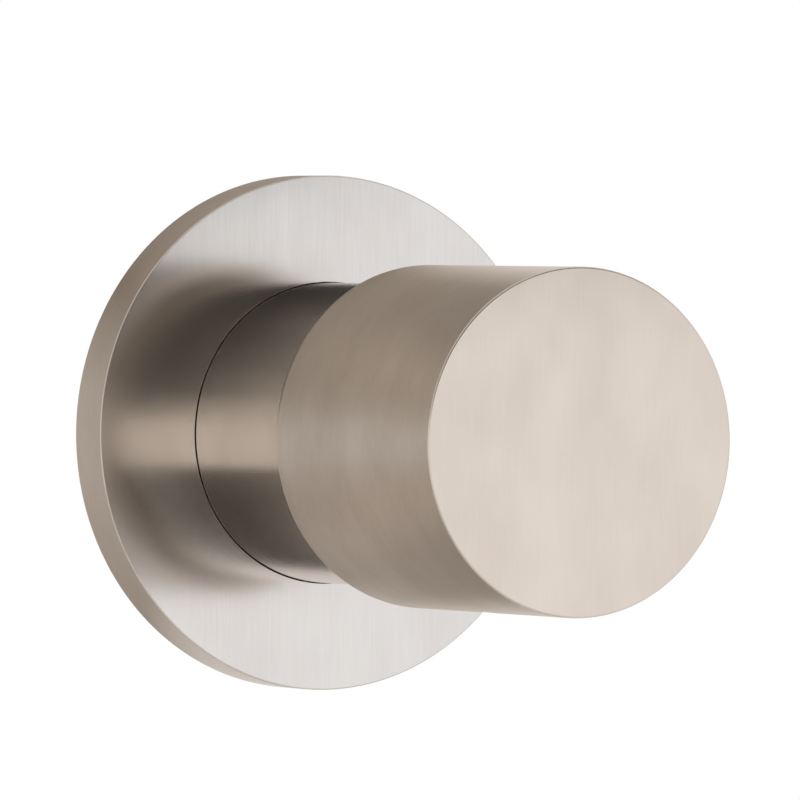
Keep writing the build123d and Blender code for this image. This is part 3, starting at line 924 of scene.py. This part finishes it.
@dataclass
class Knob:
    """Solid knob with its mouth, drilled bore and the tapped hole from below.

    Args:
        front_edge_mm: Rounding of the edge round the face.
        rear_edge_mm: Rounding of the edge at the mouth.
        mouth_gap_mm: Room between the mouth and the glide ring.
        floor_gap_mm: Room before the glide ring and behind the insert.
        push_fit_mm: Room round the insert.
        drill_degrees: Angle of the drill's point.
        hole_gap_mm: Room round the grub screw.
        hole_edge_mm: Countersink of its hole.
        hole_beyond_mm: How far the hole's cutter stands out of the knob.
        hole_steps: How many steps the hole's circles have.
    """

    front_edge_mm: float = 0.2
    rear_edge_mm: float = 1.62
    mouth_gap_mm: float = 0.05
    floor_gap_mm: float = 0.3
    push_fit_mm: float = 0.05
    drill_degrees: float = 118.0
    hole_gap_mm: float = 0.05
    hole_edge_mm: float = 0.5
    hole_beyond_mm: float = 1.0
    hole_steps: int = 72

    def build(self) -> list[Piece]:
        """Builds the knob's body.

        Returns:
            The knob, which stands for the node knob.
        """
        knob, glide, insert = Extent.of("knob"), Extent.of("glide_ring"), Extent.of("knob_insert")
        mouth = glide.radius + self.mouth_gap_mm
        mouth_floor = glide.front - self.floor_gap_mm
        bore = insert.radius + self.push_fit_mm
        bore_floor = insert.front - self.floor_gap_mm
        cone = bore / math.tan(math.radians(self.drill_degrees / 2))
        corners = [
            Corner(0.0, knob.front, finish=0),
            Corner(knob.radius, knob.front, self.front_edge_mm, finish=1),
            Corner(knob.radius, knob.rear, self.rear_edge_mm, finish=1),
            Corner(mouth, knob.rear, finish=1),
            Corner(mouth, mouth_floor, finish=1),
            Corner(bore, mouth_floor, self.front_edge_mm, finish=1),
            Corner(bore, bore_floor, finish=1),
            Corner(0.0, bore_floor - cone, finish=1),
        ]
        piece = Turning("knob_turned", corners, (KNOB_FACE, KNOB_SIDE_SHADED)).build()
        cut(piece, self.hole(knob))
        settle(piece)
        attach(piece, "handle")
        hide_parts("knob")
        return [piece]

    def hole(self, knob: Extent) -> Piece:
        """Builds the cutter for the grub screw's hole.

        Args:
            knob: Reach of the knob.

        Returns:
            A stepped round cutter below the axis.
        """
        low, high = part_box("grub_screw")
        radius = (high.x - low.x) / 2 / MM + self.hole_gap_mm
        wide = radius + self.hole_edge_mm
        surface = knob.radius - self.hole_edge_mm / 2
        beyond = knob.radius + self.hole_beyond_mm
        corners = [
            Corner(0.0, 0.0),
            Corner(radius, 0.0),
            Corner(radius, surface - self.hole_edge_mm),
            Corner(wide, surface),
            Corner(wide, beyond),
            Corner(0.0, beyond),
        ]
        middle = Vector((0.0, (low.y + high.y) / 2, 0.0))
        down = Matrix.Translation(middle) @ Matrix.Rotation(math.radians(-90), 4, "X")
        return Turning("grub_hole", corners, (KNOB_SIDE_SHADED,), self.hole_steps).build(down)


@dataclass
class Threads:
    """Crests of the threads in both G 1/2 ports.

    Args:
        port_pitch_mm: Pitch of G 1/2, fourteen threads to the inch.
        port_crest_mm: How far the drawn crests stand in the port's bore.
        port_depth_mm: Length of the tapped bore.
        mouth_mm: Plain mouth before the thread.
    """

    port_pitch_mm: float = 1.814
    port_crest_mm: float = 0.5
    port_depth_mm: float = 12.6
    mouth_mm: float = 1.2

    def build(self) -> list[Piece]:
        """Builds the thread crests.

        Returns:
            One piece for each port.
        """
        tool = ThreadTool()
        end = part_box("valve_body")[1].z / MM
        port = next(mount for mount in frame["record"]["mounts"] if mount["name"] == "inlet_port")
        depth = port["pos_m"][1] / MM
        radius = port["dims"]["r_mm"]
        starts = {
            "inlet_thread": -end + self.mouth_mm,
            "outlet_thread": end - self.mouth_mm - self.port_depth_mm,
        }
        made = []
        for name, start in starts.items():
            values = (radius, self.port_crest_mm, self.port_pitch_mm, self.port_depth_mm, depth, start)
            sizes = {size: value * MM for size, value in zip(ThreadTool.SIZES, values)}
            piece = tool.run(name, sizes, TURNED_BRASS)
            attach(piece, "valve")
            made.append(piece)
        return made


# CAD nodes that keep their own shape
DRESSINGS = {
    TURNED_BRASS: ("knob_insert", "spindle_extension", "carrier_barrel", "bonnet", "spindle"),
    CAST_BRASS: ("valve_body",),
    SCREW_STEEL: ("grub_screw", "extension_screw"),
    SPRING_STEEL: ("circlip",),
    ACETAL: ("extension_guide", "glide_ring", "slide_washer"),
    NITRILE: ("seat_seal",),
    FIBRE: ("bonnet_gasket",),
    ALUMINA: ("moving_disc", "fixed_disc"),
}
# Body that each O-ring rides on
RINGS = {
    "flange_o_ring": "flange",
    "carrier_o_ring_front": "valve",
    "carrier_o_ring_rear": "valve",
    "spindle_o_ring_front": "handle",
    "spindle_o_ring_rear": "handle",
}


def dress(node: str, finish: Finish) -> Piece:
    """Puts a finish in each material slot of a CAD node.

    Args:
        node: Name of the node.
        finish: Its finish.

    Returns:
        The node's object.
    """
    piece = frame["nodes"][node]
    for slot in piece.material_slots:
        slot.material = finish.material()
    return piece


def heading(azimuth: float, elevation: float) -> Vector:
    """Unit vector from the valve, at degrees from the room towards +X and degrees above the level."""
    turn, rise = math.radians(azimuth), math.radians(elevation)
    return Vector((math.sin(turn) * math.cos(rise), -math.cos(turn) * math.cos(rise), math.sin(rise)))


@dataclass(frozen=True)
class Flag:
    """A dark glowing card before the valve, parallel to the wall, which only the metal mirrors: a painted
    reflection.

    Args:
        name: Name of the card.
        corners_mm: Its corners, across and up from the valve's axis.
        colour: Its brightness as an sRGB hex value.
        distance: Its distance from the wall.
    """

    name: str
    corners_mm: tuple[tuple[float, float], ...]
    colour: str
    distance: float = 0.12

    def build(self) -> None:
        """Adds the card to the studio."""
        mesh = bmesh.new()
        mesh.faces.new([mesh.verts.new((x * MM, -self.distance, z * MM)) for x, z in self.corners_mm])
        hide_from_camera(stage_object(self.name, mesh, glow(self.name, linear(self.colour))))


def stage_object(name: str, mesh: bmesh.types.BMesh, material: Material) -> Piece:
    """Puts a mesh in the scene as part of the stage.

    Args:
        name: Name of the object.
        mesh: Its mesh, which is freed.
        material: Its material.

    Returns:
        The stage object.
    """
    data = bpy.data.meshes.new(name)
    mesh.to_mesh(data)
    mesh.free()
    data.materials.append(material)
    made = bpy.data.objects.new(name, data)
    bpy.context.scene.collection.objects.link(made)
    return made


def hide_from_camera(card: Piece) -> None:
    """Leaves a card in the mirror of the metal alone.

    Args:
        card: The card.
    """
    card.visible_camera = False
    card.visible_diffuse = False
    card.visible_transmission = False
    card.visible_shadow = False


def stage_material(name: str) -> Material:
    """New empty material for the stage.

    Args:
        name: Its name.

    Returns:
        The material.
    """
    made = bpy.data.materials.new(name)
    made.use_nodes = True
    made.node_tree.nodes.clear()
    return made


def glow(name: str, colour: tuple[float, float, float, float]) -> Material:
    """Material that shows one plain brightness.

    Args:
        name: Its name.
        colour: Its linear colour.

    Returns:
        The material.
    """
    made = stage_material(name)
    light = add_node(made.node_tree, "ShaderNodeEmission", {"Color": colour, "Strength": 1.0})
    add_node(made.node_tree, "ShaderNodeOutputMaterial", {"Surface": light})
    return made


@dataclass(frozen=True)
class Lamp:
    """A soft square lamp that looks at the valve and that no metal mirrors.

    Args:
        name: Name of the lamp.
        azimuth: Its azimuth in degrees.
        elevation: Its elevation in degrees.
        size: Length of its side.
        power: Its power in watts.
        distance: Its distance from the valve.
    """

    name: str
    azimuth: float
    elevation: float
    size: float
    power: float
    distance: float = 1.4

    def build(self) -> None:
        """Adds the lamp to the studio."""
        data = bpy.data.lights.new(self.name, "AREA")
        data.size, data.energy = self.size, self.power
        lamp = bpy.data.objects.new(self.name, data)
        place = heading(self.azimuth, self.elevation) * self.distance
        lamp.matrix_world = Matrix.Translation(place) @ place.to_track_quat("Z", "Y").to_matrix().to_4x4()
        lamp.visible_glossy = False
        bpy.context.scene.collection.objects.link(lamp)


# Painted reflections: cards that paint the dark bands on plate and neck
FLAGS = (
    Flag("flag_over", (
        (-72, 7), (-82, 42), (-66, 72), (-36, 92), (10, 98), (60, 90), (112, 56), (78, 42), (30, 25),
    ), "#0C0A08"),
    Flag("flag_under", (
        (-45, -20), (-32, -34), (-17, -44), (0, -50), (24, -52),
        (24, -72), (-14, -73), (-40, -66), (-60, -53), (-73, -31),
    ), "#0C0A08", distance=0.085),
)
LAMPS = (
    Lamp("key_lamp", azimuth=32.0, elevation=38.0, size=0.7, power=7.0),
    Lamp("fill_lamp", azimuth=-70.0, elevation=30.0, size=0.9, power=3.0),
    Lamp("back_lamp", azimuth=205.0, elevation=40.0, size=0.9, power=5.0),
)
WALL_WHITE = "#F2F1EF"
FLOOR_WHITE = "#F4F3F1"
SHADE_WHITE = "#F0EBE6"
# Painted reflection: tones of the glowing shade card by height in millimetres, which paint the bands where
# the knob's side mirrors it and close to the plate
FAR_TONES = {
    -90: SHADE_WHITE, -64: "#6E655C", -49: "#7A7168", -44: "#B4AAA0", -36: "#C9BFB6", -24: "#BDB4AB",
    -8: "#CCC7C3", 6: "#CCC7C3", 20: "#B6ADA3", 37: "#C2B8AC", 44: "#AFA498", 49: "#6E645B",
    64: "#5E554D", 90: SHADE_WHITE,
}
NEAR_TONES = {-30: "#F4F2F0", -22: "#B2A9A1", -4: "#CEC6C0", 6: "#CEC6C0", 18: "#958B80", 30: "#ABA198"}


def seen_directly(tree: Tree) -> Socket:
    """Tells which rays see the white background.

    Args:
        tree: Tree that gets the nodes.

    Returns:
        Socket with 1 for camera, glossy and transmission rays.
    """
    rays = add_node(tree, "ShaderNodeLightPath").outputs
    seen = rays["Is Camera Ray"]
    for kind in ("Is Glossy Ray", "Is Transmission Ray"):
        seen = add_node(tree, "ShaderNodeMath", {0: seen, 1: rays[kind]}, operation="MAXIMUM").outputs[0]
    return seen


@dataclass
class Studio:
    """Camera, white wall, pale floor, soft light, and the flags and shade card that the steel mirrors, which
    are painted reflections.

    Args:
        azimuth: Camera's azimuth in degrees.
        elevation: Camera's elevation in degrees.
        distance: Camera's distance from the middle of the trim.
        focus_px: Focal length in pixels of the photograph's frame.
        frame_px: Side of the photograph's frame in pixels.
        sight: Nearest and furthest distance that the camera draws.
        middle: Middle of the trim.
        aim: Sideways and upward shift of the point that the camera looks at.
        wall_gap: How far behind the plate the wall's surface stands.
        wall_hole: Radius of the hole for the neck tube.
        wall_reach: Radius of the wall.
        shade_fade: Stretch along X over which the glowing shade card, a painted reflection, turns white.
        near_reach: Stretch of radius over which the card's strip beside the plate ends.
        floor_height: Height of the floor.
        floor_reach: Half the side of the floor.
        day_strength: Brightness of the surroundings for all but what the eye sees.
    """

    azimuth: float = -29.778
    elevation: float = 1.076
    distance: float = 1.2269
    focus_px: float = 10696.0
    frame_px: float = 800.0
    sight: tuple[float, float] = (0.01, 50.0)
    middle: tuple[float, float, float] = (0.0, -0.030, 0.0)
    aim: tuple[float, float] = (-0.003407, 0.004213)
    wall_gap: float = 0.0005
    wall_hole: float = 0.0185
    wall_reach: float = 0.45
    shade_fade: tuple[float, float] = (0.007, 0.031)
    near_reach: tuple[float, float] = (0.033, 0.036)
    floor_height: float = -0.075
    floor_reach: float = 3.0
    day_strength: float = 0.65

    def build(self) -> None:
        """Builds the studio."""
        self.camera()
        self.world()
        self.wall()
        self.shade()
        self.floor()
        for fitting in FLAGS + LAMPS:
            fitting.build()

    def camera(self) -> None:
        """Adds the camera at the photograph's viewing angle."""
        data = bpy.data.cameras.new("camera")
        data.lens = self.focus_px / self.frame_px * data.sensor_width
        data.clip_start, data.clip_end = self.sight
        back = heading(self.azimuth, self.elevation)
        right = Vector((math.cos(math.radians(self.azimuth)), math.sin(math.radians(self.azimuth)), 0.0))
        up = back.cross(right)
        target = Vector(self.middle) + right * self.aim[0] + up * self.aim[1]
        camera = bpy.data.objects.new("camera", data)
        turn = Matrix((right, up, back)).transposed().to_4x4()
        camera.matrix_world = Matrix.Translation(target + back * self.distance) @ turn
        bpy.context.scene.collection.objects.link(camera)
        bpy.context.scene.camera = camera

    def world(self) -> None:
        """Makes the surroundings white to the eye and plain soft light for the rest."""
        world = bpy.data.worlds.new("studio")
        bpy.context.scene.world = world
        world.use_nodes = True
        tree = world.node_tree
        tree.nodes.clear()
        limits = {"Value": seen_directly(tree), "To Min": self.day_strength}
        strength = add_node(tree, "ShaderNodeMapRange", limits)
        light = add_node(tree, "ShaderNodeBackground", {"Color": (1.0, 1.0, 1.0, 1.0), "Strength": strength})
        add_node(tree, "ShaderNodeOutputWorld", {"Surface": light})

    def disc(self, hole: float, reach: float, depth: float, steps: int = 128) -> bmesh.types.BMesh:
        """Flat upright ring that faces the room.

        Args:
            hole: Radius of its hole.
            reach: Its outer radius.
            depth: Its place along Y.
            steps: Steps round it.

        Returns:
            The ring's mesh.
        """
        mesh = bmesh.new()
        turns = [2 * math.pi * step / steps for step in range(steps)]
        rings = [[mesh.verts.new((radius * math.cos(t), depth, radius * math.sin(t))) for t in turns]
                 for radius in (hole, reach)]
        for step in range(steps):
            after = (step + 1) % steps
            mesh.faces.new((rings[0][step], rings[1][step], rings[1][after], rings[0][after]))
        mesh.normal_update()
        for face in mesh.faces:
            if face.normal.y > 0:
                face.normal_flip()
        return mesh

    def wall(self) -> None:
        """Adds the white wall, which is open to the eye from behind."""
        made = stage_material("wall_white")
        tree = made.node_tree
        paint = add_node(tree, "ShaderNodeBsdfDiffuse", {"Color": linear(WALL_WHITE)})
        white = add_node(tree, "ShaderNodeEmission", {"Strength": 1.0})
        front = add_node(tree, "ShaderNodeMixShader", {0: seen_directly(tree), 1: paint, 2: white})
        self.open_from_behind(made, front)
        stage_object("wall", self.disc(self.wall_hole, self.wall_reach, self.wall_gap), made)

    def open_from_behind(self, material: Material, front: Node) -> None:
        """Ends a material so that its back is clear.

        Args:
            material: The material.
            front: Shader that its front shows.
        """
        tree = material.node_tree
        side = add_node(tree, "ShaderNodeNewGeometry")
        clear = add_node(tree, "ShaderNodeBsdfTransparent")
        both = add_node(tree, "ShaderNodeMixShader", {0: side.outputs["Backfacing"], 1: front, 2: clear})
        add_node(tree, "ShaderNodeOutputMaterial", {"Surface": both})

    def shade(self) -> None:
        """Adds the glowing grey card before the wall, lighter in a level band, which only the metal mirrors:
        a painted reflection on the turned sides.
        """
        made = stage_material("shade_painted_reflection")
        tree = made.node_tree
        sideways, _, height = place_on_piece(tree)
        fade = {"Value": sideways, "From Min": self.shade_fade[0], "From Max": self.shade_fade[1]}
        side = add_node(tree, "ShaderNodeMapRange", fade)
        tones = self.ramp(tree, height, FAR_TONES)
        colours = {FACTOR: side, COLOUR_A: tones, COLOUR_B: linear(SHADE_WHITE)}
        far = add_node(tree, "ShaderNodeMix", colours, data_type="RGBA")
        radius, *_ = round_places(tree)
        edge = {"Value": radius, "From Min": self.near_reach[0], "From Max": self.near_reach[1]}
        share = add_node(tree, "ShaderNodeMapRange", edge)
        tones = self.ramp(tree, height, NEAR_TONES)
        colours = {FACTOR: share, COLOUR_A: tones, COLOUR_B: far.outputs[MIXED_COLOUR]}
        both = add_node(tree, "ShaderNodeMix", colours, data_type="RGBA")
        light = add_node(tree, "ShaderNodeEmission", {"Color": both.outputs[MIXED_COLOUR], "Strength": 1.0})
        self.open_from_behind(made, light)
        card = stage_object("shade", self.disc(self.wall_hole, self.wall_reach, self.wall_gap / 2), made)
        hide_from_camera(card)

    def ramp(self, tree: Tree, height: Socket, stops: dict[int, str]) -> Socket:
        """Colour that changes with the height.

        Args:
            tree: Tree that gets the ramp.
            height: Height above the valve's axis, in metres.
            stops: Colour at each height in millimetres, from the lowest to the highest.

        Returns:
            Socket with the colour.
        """
        low, high = min(stops), max(stops)
        limits = {"Value": height, "From Min": low * MM, "From Max": high * MM}
        share = add_node(tree, "ShaderNodeMapRange", limits)
        ramp = add_node(tree, "ShaderNodeValToRGB", {0: share})
        elements = ramp.color_ramp.elements
        while len(elements) < len(stops):
            # Its place is set below
            elements.new(0.5)
        for element, (place, code) in zip(elements, stops.items()):
            element.position = (place - low) / (high - low)
            element.color = linear(code)
        return ramp.outputs[0]

    def floor(self) -> None:
        """Adds the pale floor."""
        made = stage_material("floor_pale")
        paint = add_node(made.node_tree, "ShaderNodeBsdfDiffuse", {"Color": linear(FLOOR_WHITE)})
        add_node(made.node_tree, "ShaderNodeOutputMaterial", {"Surface": paint})
        mesh = bmesh.new()
        reach = self.floor_reach
        corners = ((-reach, -reach), (reach, -reach), (reach, reach), (-reach, reach))
        mesh.faces.new([mesh.verts.new((x, y, self.floor_height)) for x, y in corners])
        floor = stage_object("floor", mesh, made)
        floor.visible_glossy = False


def main() -> None:
    """Builds the studio, then the valve from the room to the inside of the wall."""
    logging.basicConfig(level=logging.INFO, format="%(message)s")
    bpy.context.scene.view_settings.view_transform = "Standard"
    Studio().build()
    made = WallTrim().build() + Knob().build() + Threads().build()
    rings = RingTool()
    made += [rings.make(node, body) for node, body in RINGS.items()]
    made += [dress(node, finish) for finish, nodes in DRESSINGS.items() for node in nodes]
    for piece in made:
        LOG.info("%s: %d faces", piece.name, len(piece.data.polygons))


if __name__ == "__main__":
    main()
